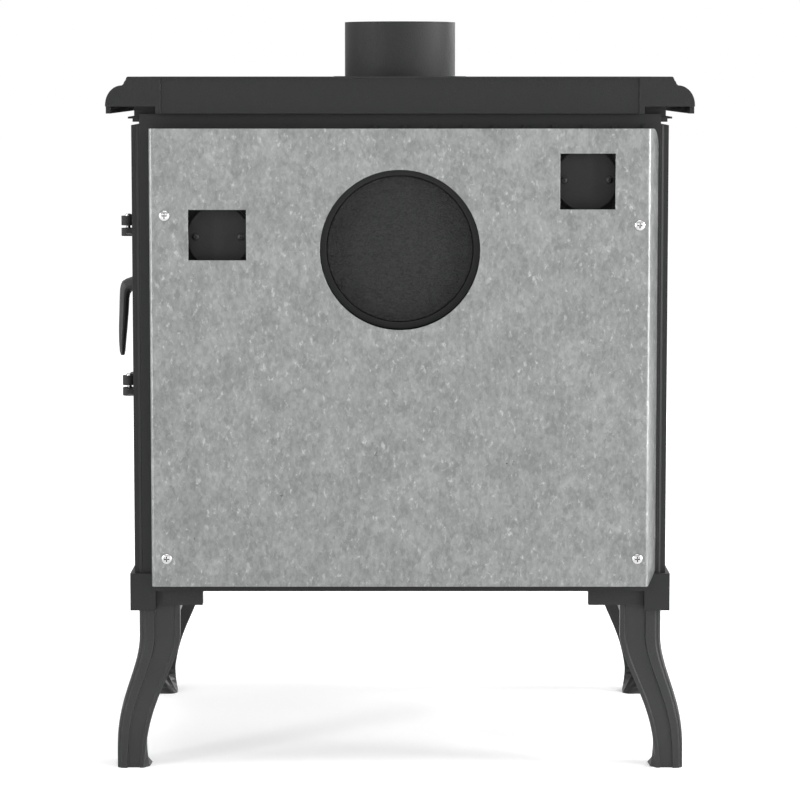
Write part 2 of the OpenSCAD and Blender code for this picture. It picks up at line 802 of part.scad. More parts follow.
// Two guide rails above and below an air slide, on a face at y
module slide_rails(half, y, z) {
  inside = slide_h / 2 + run_gap;
  for (turn = [0, 180])
    translate([0, 0, z])
      rotate([0, turn, 0]) {
        span([-half, half], [y - slide_t - run_gap - over, y + over / 2], [inside, inside + rail_t]);
        span([-half, half], [y - slide_t - run_gap - over, y - slide_t - run_gap],
          [inside - over - run_gap, inside + rail_t]);
      }
}
slide_half = (airwash_count / 2 + 1) * air_pitch;
primary_half = (primary_count / 2 + 1) * air_pitch;

module front_frame() {
  color(iron)
    difference() {
      union() {
        span([-half_w, half_w], [front_y, frame_y], [floor_z, panel_z]);
        slide_rails(slide_half, front_y, airwash_z);
        for (z = front_hinge_zs) {
          rod_z(front_axis_x, front_axis_y, [z - knuckle_frame_h, z], front_knuckle_r, fine);
          span([front_axis_x - front_knuckle_r, front_axis_x + front_knuckle_r], [front_axis_y,
            front_y + over], [z - knuckle_frame_h, z]);
        }
        rod_y(riddle_rod_x, [front_y - seat_out, frame_y], riddle_rod_z, 2 * riddle_rod_r);
      }
      span([front_door_x[0] + front_lap, front_door_x[1] - front_lap], [front_y - over, frame_y + over],
        [front_door_zs[0] + front_lap, front_door_zs[1] - front_lap]);
      span([-pan_w / 2 - pan_opening_gap, pan_w / 2 + pan_opening_gap], [front_y - over, frame_y + over],
        [pan_z - pan_opening_gap / 2, drawer_zs[1] - pan_opening_gap]);
      hole_row(airwash_count, [front_y - over, frame_y + over], airwash_z, air_hole_r);
      for (z = front_hinge_zs)
        rod_z(front_axis_x, front_axis_y, [z - knuckle_frame_h - over, z + over], pin_r + pin_gap);
      rod_y(riddle_rod_x, [front_y - seat_out - over, frame_y + over], riddle_rod_z,
        riddle_rod_r + pin_gap);
    }
}

module corner_places() {
  for (sx = [0, 1])
    for (sy = [0, 1])
      mirror([sx, 0, 0])
        mirror([0, sy, 0])
          children();
}
bolt_in = 41;
leg_bolt_x = plinth_half - bolt_in;
leg_bolt_y = block_y - bolt_in;
module base_body() {
  difference() {
    union() {
      span([-plinth_half, plinth_half], [-block_y, block_y], [base_z, floor_z]);
      span([-plinth_half, plinth_half], [-block_y, rear_y], [base_z, floor_z + plinth_rise]);
      corner_places()
        span([plinth_half - block_w, plinth_half], [block_y - block_w, block_y],
          [leg_h, floor_z + plinth_rise]);
    }
    span([-half_w - fit, half_w + fit], [front_y - fit, rear_y + fit],
      [floor_z, floor_z + plinth_rise + over]);
    // The legs' tops stand in pockets under the corner blocks.
    corner_places()
      span([plinth_half - block_w - over, plinth_half - leg_inset + fit],
        [block_y - block_w - over, block_y - leg_inset + fit], [leg_h - over, leg_top]);
    for (x = [-leg_bolt_x, leg_bolt_x])
      for (y = [-leg_bolt_y, leg_bolt_y])
        rod_z(x, y, [base_z - over, floor_z - over], leg_bolt_r + pin_gap);
    tie_places()
      rod_z(0, 0, [base_z - over, floor_z + over], rod_r + pin_gap);
  }
}
module base_casting() {
  color(iron)
    union() {
      base_body();
      // Two runners that the ash pan slides on
      on_both_sides()
        span([pan_w / 2 - pan_opening_gap * 4, pan_w / 2 - pan_opening_gap],
          [frame_y + over, frame_y + pan_d], [floor_z - over, pan_z - run_gap]);
    }
}

module ash_lip() {
  lip_top = floor_z + ash_lip_t / 2;
  color(iron)
    difference() {
      span([-ash_lip_w / 2, ash_lip_w / 2], [-block_y - lip_d, -block_y], [lip_top - ash_lip_t, lip_top]);
      span([-ash_lip_w / 2 + lip_t, ash_lip_w / 2 - lip_t], [-block_y - lip_d + lip_t, -block_y - lip_t],
        [lip_top - ash_lip_t / 3, lip_top + over]);
    }
}

// Legs. A leg's section is an angle with stepped mouldings, set from the outer corner inwards.
leg_steps = 18;
foot_steps = 5;
leg_curve_power = 1.3;
leg_middle_share = 0.7;
foot_round_shares = [0.97, 0.8, 0.92];
// Places across a wing, and how far each lies behind the outer face
moulding_across_shares = [0.045, 0.11, 0.14, 0.37, 0.4, 0.855, 0.88, 1];
moulding_sink_shares = [0.22, 0.22, 0, 0, 0.28, 0.28, 0.1, 0.1];
function leg_out(z) =
  let (run = leg_h - leg_straight_h - foot_straight_h,
    t = max(0, min(1, (z - foot_straight_h) / run)))
  leg_spread * (1 + cos(180 * pow(t, leg_curve_power))) / 2 - leg_inset;
function wing_w(z) = wing_foot_w + (wing_top_w - wing_foot_w) * min(1, z / (leg_h - leg_straight_h));
// Share by which the inner corner is filled: fully at the floor and in the pad under the block
function leg_fill(z) = z > leg_top - leg_pad_t - pad_ease / 2 ? 1 : max(0, 1 - z / foot_pad_h);
function mix_points(a, b, t) = a + (b - a) * t;
function leg_ring(z, filled) =
  let (w = wing_w(z), o = leg_out(z), t = wing_t, n = len(moulding_across_shares),
    pad = foot_pad_w, share = foot_round_shares,
    outer = [for (i = [0 : n - 1]) [w * moulding_across_shares[i], t * moulding_sink_shares[i]]],
    back = [[w, t], [w / 2, t], [t, t], [t, w / 2], [t, w]],
    full = z > leg_h / 2
      ? [[w, t], [w, w / 2], [w, w], [w / 2, w], [t, w]]
      : [[max(w, pad * share[0]), t], [pad, pad * share[1]], [pad * share[2], pad * share[2]],
          [pad * share[1], pad], [t, max(w, pad * share[0])]],
    inner = [for (i = [0 : 4]) mix_points(back[i], full[i], filled)],
    section = concat(
      [for (i = [n - 1 : -1 : 1]) [outer[i][1], outer[i][0]]],
      [for (i = [0 : n - 1]) outer[i]], inner))
  [for (p = section) [plinth_half + o - p[0], block_y + o - p[1], z]];
function leg_levels() = concat([0],
  [for (k = [1 : foot_steps]) foot_pad_h * k / foot_steps],
  [for (k = [1 : leg_steps])
    foot_pad_h + (leg_h - leg_straight_h - foot_pad_h) * k / leg_steps],
  [leg_top - leg_pad_t - pad_ease]);
module leg(sx, sy) {
  rings = concat([for (z = leg_levels()) leg_ring(z, leg_fill(z))],
    [leg_ring(leg_top - leg_pad_t, 1), leg_ring(leg_top, 1)]);
  ends = [for (z = [0, leg_top])
    let (m = wing_w(z) * leg_middle_share - leg_out(z)) [plinth_half - m, block_y - m, z]];
  color(iron)
    mirror([sx, 0, 0])
      mirror([0, sy, 0])
        difference() {
          loft(rings, ends[0], ends[1]);
          rod_z(leg_bolt_x, leg_bolt_y, [leg_top - 3 * leg_pad_t, leg_top + over], leg_bolt_r + pin_gap);
        }
}
module leg_front_left() leg(1, 1);
module leg_front_right() leg(0, 1);
module leg_rear_left() leg(1, 0);
module leg_rear_right() leg(0, 0);

module leg_brackets() {
  x = plinth_half - block_w;
  y = block_y - block_out;
  color(dark_iron)
    for (sx = [0, 1])
      for (sy = [0, 1])
        mirror([sx, 0, 0])
          mirror([0, sy, 0])
            difference() {
              union() {
                span([x - bracket_pad_l, x], [y - bracket_d, y], [leg_top, base_z]);
                span([x - (sx == 0 ? bracket_right_l : bracket_left_l), x], [y - bracket_arm_d, y],
                  [leg_top, base_z]);
              }
              rod_z(leg_bolt_x, leg_bolt_y, [leg_top - over, base_z + over], leg_bolt_r + pin_gap);
            }
}

nut_h_share = 1.4;
module hex_bolt(r, head_z, top_z) {
  head_h = r * nut_h_share;
  rod_z(0, 0, [head_z - head_h, head_z], 2 * r, 6);
  rod_z(0, 0, [head_z - head_h / 2, top_z], r);
}
module leg_bolts() {
  color(dark_iron)
    for (x = [-leg_bolt_x, leg_bolt_x])
      for (y = [-leg_bolt_y, leg_bolt_y])
        translate([x, y, 0])
          hex_bolt(leg_bolt_r, leg_top - leg_pad_t - pad_ease, floor_z - 2 * over);
}
module tie_rods() {
  color(dark_iron)
    tie_places()
      union() {
        rod_z(0, 0, [base_z, plate_under_z - over / 2], rod_r);
        rod_z(0, 0, [floor_z, floor_z + rod_r * nut_h_share], 2 * rod_r, 6);
      }
}

// Shield. Half of its plan runs from the middle round the bend to the flange's edge.
shield_y = rear_y + shield_off;
bend_steps = 6;
function shield_side(r, lean) =
  let (cx = shield_w / 2 - shield_bend_r, cy = shield_y - shield_bend_r,
    run = (cy + shield_bend_r * sin(lean) - rear_y - shield_edge_gap) / cos(lean),
    bend = [for (k = [0 : bend_steps])
      let (a = 90 - (90 - lean) * k / bend_steps) [cx + r * cos(a), cy + r * sin(a)]],
    tip = bend[bend_steps] + run * [sin(lean), -cos(lean)])
  concat(bend, [tip]);
module shield_plan() {
  inner_r = shield_bend_r - shield_t;
  inner_right = shield_side(inner_r, shield_lean_right);
  polygon(concat(mirrored(shield_side(shield_bend_r, shield_lean_left)),
    shield_side(shield_bend_r, shield_lean_right),
    [for (i = [len(inner_right) - 1 : -1 : 0]) inner_right[i]],
    [for (p = shield_side(inner_r, shield_lean_left)) [-p[0], p[1]]]));
}
shield_z = floor_z + shield_lift;
module rear_heat_shield() {
  top = shield_z + shield_h;
  edge_y = rear_y + shield_edge_gap;
  color(zinc)
    difference() {
      translate([0, 0, shield_z])
        linear_extrude(shield_h)
          shield_plan();
      rod_y(0, [shield_y - shield_t - over, shield_y + over], outlet_z, shield_hole_d / 2, 2 * fine);
      span([port_right_x - window_right_w / 2, port_right_x + window_right_w / 2],
        [shield_y - shield_t - over, shield_y + over],
        [port_right_z + window_right_up - window_right_h / 2,
          port_right_z + window_right_up + window_right_h / 2]);
      span([-port_left_x - window_left_w / 2, -port_left_x + window_left_w / 2],
        [shield_y - shield_t - over, shield_y + over],
        [port_left_z - window_left_down - window_left_h / 2,
          port_left_z - window_left_down + window_left_h / 2]);
      shield_places()
        rod_y(0, [shield_y - shield_t - over, shield_y + over], 0, shield_screw_r + fit);
      // The lower corners of the flanges are cut to clear the corner blocks.
      sweep_x([-half_w, half_w])
        polygon([[edge_y - over, shield_z - over], [shield_y - shield_bend_r, shield_z - over],
          [shield_y - shield_bend_r, shield_z], [edge_y, shield_z + shield_cut_h],
          [edge_y - over, shield_z + shield_cut_h]]);
      // Their upper corners are rounded.
      difference() {
        span([-half_w, half_w], [edge_y - over, edge_y + shield_corner_r],
          [top - shield_corner_r, top + over]);
        rod_x([-half_w - over, half_w + over], edge_y + shield_corner_r, top - shield_corner_r,
          shield_corner_r);
      }
    }
}

// A domed head with a cross recess, standing on a face at y = 0 and looking along +Y
dome_steps = 8;
dome_wall_share = 0.25;
recess_share = 0.2;
module dome_head(r, h) {
  difference() {
    rotate([-90, 0, 0])
      rotate_extrude($fn = small)
        polygon(concat([[0, 0]],
          [for (k = [0 : dome_steps]) let (a = 90 * k / dome_steps)
            [r * cos(a), h * (k == 0 ? 0 : dome_wall_share + (1 - dome_wall_share) * sin(a))]]));
    for (turn = [0, 90])
      translate([0, h, 0])
        rotate([0, turn, 0])
          cube([r, h, r * recess_share], center = true);
  }
}
module shield_screws() {
  color(bright)
    shield_places() {
      translate([0, shield_y, 0])
        dome_head(shield_head_r, shield_head_h);
      rod_y(0, [inner_y, shield_y + over / 2], 0, shield_screw_r);
    }
}
module shield_spacers() {
  color(dark_iron)
    shield_places()
      difference() {
        rod_y(0, [rear_y, shield_y - shield_t], 0, spacer_r);
        rod_y(0, [rear_y - over, shield_y], 0, shield_screw_r + pin_gap);
      }
}

// A flat disc with an eased edge, its back at y and its face towards +Y
module eased_disc(x, y, z, r, sides) {
  ease = over / 2;
  translate([x, y[0], z])
    rotate([-90, 0, 0])
      rotate_extrude($fn = sides)
        polygon([[0, 0], [r, 0], [r, y[1] - y[0] - ease], [r - ease, y[1] - y[0]], [0, y[1] - y[0]]]);
}
module rear_flue_cover() {
  color(iron)
    difference() {
      eased_disc(0, [rear_y, rear_y + outlet_t - over / 2], outlet_z, outlet_disc_d / 2, 2 * fine);
      rod_y(0, [rear_y - over, rear_y + outlet_t / 2], outlet_z, clamp_bolt_r + pin_gap);
    }
}
clamp_bolt_r = 4;
clamp_bar_h = 24;
clamp_bar_t = 6;
module cover_clamp_bar() {
  half = outlet_hole_d / 2 + clamp_bar_h / 2;
  color(dark_iron)
    difference() {
      span([-half, half], [inner_y - clamp_bar_t, inner_y],
        [outlet_z - clamp_bar_h / 2, outlet_z + clamp_bar_h / 2]);
      rod_y(0, [inner_y - clamp_bar_t - over, inner_y + over], outlet_z, clamp_bolt_r + pin_gap);
    }
}
module cover_bolt() {
  color(dark_iron) {
    rod_y(0, [inner_y - clamp_bar_t, rear_y + outlet_t / 2], outlet_z, clamp_bolt_r);
    rod_y(0, [inner_y - clamp_bar_t - clamp_bolt_r * nut_h_share, inner_y - clamp_bar_t], outlet_z,
      clamp_bolt_r * 2, 6);
  }
}

module port_cover(p) {
  y = rear_y + fin_h;
  color(iron)
    difference() {
      eased_disc(p[0], [y, y + port_cover_t], p[1], port_cover_r, fine);
      for (dx = [-port_screw_gap / 2, port_screw_gap / 2])
        rod_y(p[0] + dx, [y - over, y + port_cover_t + over], p[1], port_screw_r + pin_gap);
    }
}
module port_cover_left() port_cover(port_places[0]);
module port_cover_right() port_cover(port_places[1]);
module port_screws() {
  y = rear_y + fin_h + port_cover_t;
  color(dark_iron)
    for (p = port_places)
      for (dx = [-port_screw_gap / 2, port_screw_gap / 2])
        translate([p[0] + dx, 0, p[1]]) {
          translate([0, y, 0])
            dome_head(port_head_r, port_head_h);
          rod_y(0, [inner_y, y + over / 2], 0, port_screw_r);
        }
}

// Firebox lining
brick_back_y = inner_y - flueway - brick_t;
ring_x = inner_x - rebate_w;
module bricks(x, y, z, count_x, count_y, count_z) {
  dx = (x[1] - x[0]) / count_x;
  dy = (y[1] - y[0]) / count_y;
  dz = (z[1] - z[0]) / count_z;
  color(brick)
    for (i = [0 : count_x - 1])
      for (j = [0 : count_y - 1])
        for (k = [0 : count_z - 1])
          span([x[0] + i * dx, x[0] + (i + 1) * dx - (i < count_x - 1 ? fit : 0)],
            [y[0] + j * dy, y[0] + (j + 1) * dy - (j < count_y - 1 ? fit : 0)],
            [z[0] + k * dz, z[0] + (k + 1) * dz - (k < count_z - 1 ? fit : 0)]);
}
module back_firebricks()
  bricks([-brick_back_w / 2, brick_back_w / 2], [brick_back_y, brick_back_y + brick_t],
    [grate_z, baffle_z], 3, 1, 2);
module left_firebricks()
  bricks([-inner_x + fit, -inner_x + fit + brick_t], [-brick_row_l / 2, brick_row_l / 2],
    [grate_z, grate_z + brick_left_h], 1, 2, 1);
module right_firebricks()
  bricks([inner_x - fit - brick_t, inner_x - fit], [-brick_row_l / 2, brick_row_l / 2],
    [grate_z, grate_z + brick_right_h], 1, 2, 1);

baffle_y = [brick_back_y + brick_t - baffle_d, brick_back_y + brick_t];
support_w = 26;
support_h = 10;
support_lap = 5;
baffle_half = inner_x - support_w + support_lap;
module baffle_supports() {
  y = [baffle_y[0] + support_w, baffle_y[1] - support_w - support_h];
  color(dark_iron)
    on_both_sides()
      span([inner_x - support_w, inner_x], y, [baffle_z - support_h, baffle_z]);
}
module baffle_plate() {
  color(iron)
    span([-baffle_half, baffle_half], baffle_y, [baffle_z, baffle_z + baffle_t]);
}

// Grate
grate_half = inner_x - support_w;
grate_y = [frame_y + ledge_end, inner_y - fit];
riddle_ledge = 3;
riddle_cut_half = riddle_w / 2 + riddle_ledge;
riddle_cut_y = [-riddle_d / 2 - riddle_travel - riddle_ledge, riddle_d / 2 + riddle_ledge];
module slots(half, y, z, count) {
  pitch = 2 * half / count;
  for (k = [0 : count - 1])
    span([-half + (k + 0.5) * pitch - slot_w / 2, -half + (k + 0.5) * pitch + slot_w / 2], y, z);
}
module grate_frame() {
  z = [grate_z - grate_t, grate_z];
  tab_y = [frame_y + ledge_end, inner_y - ledge_end];
  color(dark_iron)
    difference() {
      union() {
        span([-grate_half, grate_half], grate_y, z);
        span([-inner_x + fit, inner_x - fit], [-brick_row_l / 2 - over, brick_row_l / 2 + over], z);
      }
      span([-riddle_cut_half, riddle_cut_half], riddle_cut_y,
        [grate_z - grate_t + riddle_ledge, grate_z + over]);
      span([-riddle_cut_half + 3 * riddle_ledge, riddle_cut_half - 3 * riddle_ledge],
        [riddle_cut_y[0] + 3 * riddle_ledge, riddle_cut_y[1] - 3 * riddle_ledge],
        [grate_z - grate_t - over, grate_z + over]);
      for (side = [-1, 1])
        translate([side * (riddle_cut_half / 2 + grate_half / 2), 0, 0])
          slots(grate_half / 2 - riddle_cut_half / 2 - slot_w / 2, [-riddle_d / 2, riddle_d / 2],
            [grate_z - grate_t - over, grate_z + over], 4);
    }
}
riddle_z = [grate_z - grate_t + riddle_ledge + run_gap, grate_z - over];
module riddling_grate() {
  color(dark_iron)
    difference() {
      span([-riddle_w / 2, riddle_w / 2], [-riddle_d / 2, riddle_d / 2], riddle_z);
      for (side = [-1, 1])
        slots(riddle_w / 2 - slot_w, [side < 0 ? -riddle_d / 2 + slot_w : slot_w / 2,
          side < 0 ? -slot_w / 2 : riddle_d / 2 - slot_w],
          [riddle_z[0] - over, riddle_z[1] + over], 9);
    }
}
riddle_arm_w = 10;
riddle_end_y = -riddle_d / 2 + 6 * riddle_rod_r;
riddle_foot_x = riddle_cut_half - 3 * riddle_ledge - over;
module riddling_rod() {
  arm_y = [riddle_end_y - riddle_arm_w, riddle_end_y];
  arm_z = [riddle_rod_z - riddle_rod_r, riddle_rod_z + riddle_rod_r];
  color(dark_iron)
    union() {
      rod_y(riddle_rod_x, [front_y - knob_l - 2 * run_gap, riddle_end_y], riddle_rod_z, riddle_rod_r);
      span([riddle_foot_x - 2 * riddle_arm_w, riddle_rod_x], arm_y, arm_z);
      span([riddle_foot_x - 2 * riddle_arm_w, riddle_foot_x - riddle_arm_w], arm_y,
        [arm_z[0], riddle_z[0]]);
    }
}

// A turned knob whose back stands at y, its grip towards -Y
knob_seat_share = 0.8;
knob_radius_shares = [0.55, 0.5, 0.42, 0.5, 0.8, 0.97, 1, 0.95, 0.78, 0.45];
knob_length_shares = [0, 0.12, 0.26, 0.38, 0.46, 0.58, 0.7, 0.84, 0.95, 1];
module knob(x, y, z, r, l) {
  translate([x, y, z])
    rotate([90, 0, 0])
      rotate_extrude($fn = fine)
        polygon(concat([[0, 0]],
          [for (i = [0 : len(knob_radius_shares) - 1])
            [r * knob_radius_shares[i], l * knob_length_shares[i]]],
          [[0, l]]));
}
module riddling_knob() {
  color(iron)
    knob(riddle_rod_x, front_y - knob_l - 2 * run_gap, riddle_rod_z, knob_r, knob_l);
}

module ash_drawer_front() {
  half = drawer_w / 2;
  color(iron)
    difference() {
      union() {
        span([-half, half], drawer_y, drawer_zs);
        slide_rails(primary_half, drawer_y[0], primary_z);
        rod_y(0, [drawer_y[0] - seat_out, drawer_y[0] + over], ash_knob_z, knob_r * knob_seat_share);
      }
      hole_row(primary_count, [drawer_y[0] - over, drawer_y[1] + over], primary_z, air_hole_r);
    }
}
ash_knob_z = drawer_zs[0] + knob_r + seat_out / 2;
module ash_drawer_knob() {
  color(iron)
    knob(0, drawer_y[0] - seat_out, ash_knob_z, knob_r, knob_l);
}
module ash_pan() {
  half = pan_w / 2;
  y = [drawer_y[1], drawer_y[1] + pan_d];
  color(dark_iron)
    difference() {
      span([-half, half], y, [pan_z, pan_z + pan_h]);
      span([-half + pan_t, half - pan_t], [y[0] + pan_t, y[1] - pan_t],
        [pan_z + pan_t, pan_z + pan_h + over]);
    }
}

// An air slide with its holes half a pitch out of step at the end of its travel
slide_travel = air_pitch / 2;
module air_slide(half, count, y, z) {
  color(dark_iron) {
    difference() {
      span([-half, half - slide_travel], [y - slide_t - fit, y - fit],
        [z - slide_h / 2, z + slide_h / 2]);
      hole_row(count, [y - slide_t - over, y + over], z, air_hole_r);
    }
    knob((count / 2) * air_pitch, y - slide_t - fit, z, air_hole_r, knob_l / 2);
  }
}
module primary_air_slide() air_slide(primary_half, primary_count, drawer_y[0], primary_z);
module airwash_slide() air_slide(slide_half, airwash_count, front_y, airwash_z);

// Front door
glass_x = front_door_w / 2 - front_border;
glass_zs = [front_door_zs[0] + front_border, front_door_zs[1] - front_border];
glass_y = [front_door_y[1] - glass_t - glass_set, front_door_y[1] - glass_set];
front_hub_x = front_door_x[1] - front_lap - front_hub_in;
rope_in = front_lap / 2 - rope_w / 2;
module rope_ring(x, y, z, d) {
  difference() {
    span([x[0] + d, x[1] - d], y, [z[0] + d, z[1] - d]);
    span([x[0] + d + rope_w, x[1] - d - rope_w], [y[0] - over, y[1] + over],
      [z[0] + d + rope_w, z[1] - d - rope_w]);
  }
}
module front_door() {
  color(iron)
    difference() {
      union() {
        span(front_door_x, front_door_y, front_door_zs);
        difference() {
          span([-glass_x - bead_w_front, glass_x + bead_w_front],
            [front_door_y[0] - bead_h_front, front_door_y[0] + over],
            [glass_zs[0] - bead_w_front, glass_zs[1] + bead_w_front]);
          span([-glass_x, glass_x], [front_door_y[0] - bead_h_front - over, front_door_y[0] + 2 * over],
            glass_zs);
        }
        rod_y(front_hub_x, [front_door_y[0] - bead_h_front, front_door_y[0] + over], front_hub_z,
          hub_r + bead_h_front, fine);
        for (z = front_hinge_zs) {
          rod_z(front_axis_x, front_axis_y, [z + knuckle_gap, z + knuckle_gap + knuckle_door_h],
            front_knuckle_r, fine);
          span([front_axis_x, front_door_x[0] + hinge_arm_l],
            [front_door_y[0] - hinge_arm_t / 2, front_door_y[0] + over],
            [z + knuckle_gap, z + knuckle_gap + knuckle_door_h]);
        }
      }
      // Window, with a rebate behind it for the glass
      span([-glass_x, glass_x], [front_door_y[0] - over, front_door_y[1] + over], glass_zs);
      span([-glass_x - glass_lap - fit, glass_x + glass_lap + fit], [glass_y[0], front_door_y[1] + over],
        [glass_zs[0] - glass_lap - fit, glass_zs[1] + glass_lap + fit]);
      rope_ring(front_door_x, [front_door_y[1] - rope_w, front_door_y[1] + over], front_door_zs, rope_in);
      rod_y(front_hub_x, [front_door_y[0] - hub_r, front_door_y[1] + over], front_hub_z, shaft_r + pin_gap);
      for (z = front_hinge_zs)
        rod_z(front_axis_x, front_axis_y, [z, z + knuckle_gap + knuckle_door_h + over], pin_r + pin_gap / 2);
      clip_places()
        rod_y(0, [front_door_y[1] - clip_screw_l, front_door_y[1] + over], 0, clip_screw_r + pin_gap);
    }
}
module front_door_rope() {
  color(rope_grey)
    rope_ring(front_door_x, [front_door_y[1] - rope_w, front_door_y[1]], front_door_zs, rope_in);
}
module front_glass() {
  color([0.3, 0.32, 0.33, 0.5])
    span([-glass_x - glass_lap, glass_x + glass_lap], glass_y,
      [glass_zs[0] - glass_lap, glass_zs[1] + glass_lap]);
}
clip_screw_r = 2;
clip_screw_l = 6;
clip_w = 16;
clip_t = 2;
clip_head_share = 1.9;
module clip_places() {
  on_both_sides()
    for (z = [glass_zs[0] + front_border, glass_zs[1] - front_border])
      translate([glass_x + glass_lap + clip_w / 2, 0, z])
        children();
}
module glass_clips() {
  y = front_door_y[1];
  color(dark_iron)
    clip_places()
      difference() {
        union() {
          span([-clip_w, clip_w / 2], [y, y + clip_t], [-clip_w / 2, clip_w / 2]);
          span([-clip_w, -clip_w / 2 - fit], [y - glass_set, y + fit], [-clip_w / 2, clip_w / 2]);
        }
        rod_y(0, [y - 2 * over, y + clip_t + over], 0, clip_screw_r + pin_gap);
      }
}
module glass_screws() {
  y = front_door_y[1] + clip_t;
  color(bright)
    clip_places() {
      translate([0, y, 0])
        dome_head(clip_screw_r * clip_head_share, clip_screw_r);
      rod_y(0, [front_door_y[1] - clip_screw_l, y + over / 2], 0, clip_screw_r);
    }
}

pin_head_shares = [[0, 0], [1.6, 0], [1.5, 0.5], [1, 1], [0, 1.1]];
// A hinge pin with a domed head, standing in a stove knuckle and pressed into the door's
module hinge_pin(x, y, z) {
  top = z + knuckle_gap + knuckle_door_h;
  rod_z(x, y, [z - knuckle_frame_h + over, top], pin_r);
  translate([x, y, top])
    rotate_extrude($fn = small)
      polygon([for (p = pin_head_shares) pin_r * p]);
}
module front_hinge_pins() {
  color(bright)
    for (z = front_hinge_zs)
      hinge_pin(front_axis_x, front_axis_y, z);
}
module side_hinge_pins() {
  color(bright)
    for (z = side_hinge_zs)
      hinge_pin(side_axis_x, side_axis_y, z);
}

// A tapered handle on its shaft. The hub stands on the plane z = 0, the grip hangs towards -X.
grip_out_shares = [0, 0.32, 0.6, 0.73, 0.83, 0.872, 0.9, 0.92, 0.94, 0.973, 0.995, 1, 0.996];
grip_down_shares = [0, 0, 0.017, 0.03, 0.05, 0.084, 0.124, 0.203, 0.394, 0.62, 0.805, 0.946, 1];
grip_tilts = [0, 0, 18, 30, 42, 54, 66, 84, 88, 88, 89, 90, 90];
grip_thick_shares = [1, 0.96, 0.87, 0.845, 0.81, 0.75, 0.66, 0.585, 0.557, 0.514, 0.434, 0.344, 0.22];
grip_wide_shares = [1, 0.96, 0.9, 0.885, 0.87, 0.86, 0.85, 0.83, 0.81, 0.77, 0.72, 0.64, 0.42];
grip_sides = 16;
module grip() {
  last = len(grip_out_shares) - 1;
  loft([for (k = [0 : last])
      [for (i = [0 : grip_sides - 1])
        let (a = -360 * i / grip_sides,
          thick = hub_r * grip_thick_shares[k] * cos(a),
          wide = hub_r * grip_wide_shares[k] * sin(a))
          [-grip_drop * grip_down_shares[k] + thick * cos(grip_tilts[k]), wide,
            grip_reach * grip_out_shares[k] + thick * sin(grip_tilts[k])]]],
    [0, 0, 0],
    [-grip_drop * grip_down_shares[last], 0, grip_reach * grip_out_shares[last]]);
}
module handle(shaft_l) {
  color(iron) {
    grip();
    translate([0, 0, -shaft_l])
      cylinder(h = shaft_l, r = shaft_r, $fn = small);
  }
}
module tongue() {
  color(dark_iron)
    difference() {
      union() {
        cylinder(h = tongue_t, r = tongue_eye_r, $fn = small);
        translate([-tongue_l, -tongue_w / 2, 0])
          cube([tongue_l, tongue_w, tongue_t]);
      }
      translate([0, 0, -over])
        cylinder(h = tongue_t + 2 * over, r = shaft_r + pin_gap / 2, $fn = small);
    }
}
tongue_gap = 0.6;
// Places a handle's own frame on the front door or on the side door.
module at_front_hub(y) {
  translate([front_hub_x, y, front_hub_z])
    rotate([90, 0, 0])
      rotate([0, 0, 90])
        children();
}
module at_side_hub(x) {
  translate([x, front_y + side_hub_in, side_hub_z])
    rotate([0, 90, 0])
      rotate([0, 0, 180])
        children();
}
front_hub_y = front_door_y[0] - bead_h_front - run_gap;
front_tongue_y = frame_y + tongue_gap + tongue_t;
side_hub_x = side_door_xs[1] + run_gap;
side_tongue_x = ring_x - tongue_gap - tongue_t;
module front_handle() at_front_hub(front_hub_y) handle(front_tongue_y - front_hub_y);
module front_latch_tongue() at_front_hub(front_tongue_y) tongue();
module side_handle() at_side_hub(side_hub_x) handle(side_hub_x - side_tongue_x);
module side_latch_tongue() at_side_hub(side_tongue_x) tongue();

// Side door
module side_door() {
  field = 4 * rebate_w;
  color(iron)
    difference() {
      union() {
        span(side_door_xs, side_door_y, side_door_zs);
        for (z = side_hinge_zs) {
          top = z + knuckle_gap + knuckle_door_h;
          rod_z(side_axis_x, side_axis_y, [z + knuckle_gap, top], side_knuckle_r, fine);
          sweep_x([side_door_xs[1] - over, side_door_xs[1] + hinge_arm_t])
            polygon([[side_axis_y, z + knuckle_gap], [side_axis_y, top], [side_door_y[1] - hinge_arm_l, top],
              [side_door_y[1] - hinge_arm_l, z + knuckle_gap + knuckle_door_h / 3]]);
        }
      }
      // Sunk field inside a plain border
      span([side_door_xs[1] - side_door_out / 2, side_door_xs[1] + hinge_arm_t * 2],
        [front_y + side_hub_in + field, side_door_y[1] - hinge_arm_l - rebate_w],
        [side_door_zs[0] + field, side_door_zs[1] - field]);
      sweep_x([side_door_xs[0] - over, side_door_xs[0] + rope_w])
        square_ring(side_door_y, side_door_zs, (rebate_w - rope_w) / 2);
      rod_x([side_door_xs[0] - over, side_door_xs[1] + over], front_y + side_hub_in, side_hub_z,
        shaft_r + pin_gap);
      for (z = side_hinge_zs)
        rod_z(side_axis_x, side_axis_y, [z, z + knuckle_gap + knuckle_door_h + over], pin_r + pin_gap / 2);
    }
}
module square_ring(x, y, d) {
  difference() {
    translate([x[0] + d, y[0] + d])
      square([x[1] - x[0] - 2 * d, y[1] - y[0] - 2 * d]);
    translate([x[0] + d + rope_w, y[0] + d + rope_w])
      square([x[1] - x[0] - 2 * (d + rope_w), y[1] - y[0] - 2 * (d + rope_w)]);
  }
}
module side_door_rope() {
  color(rope_grey)
    sweep_x([side_door_xs[0], side_door_xs[0] + rope_w])
      square_ring(side_door_y, side_door_zs, (rebate_w - rope_w) / 2);
}

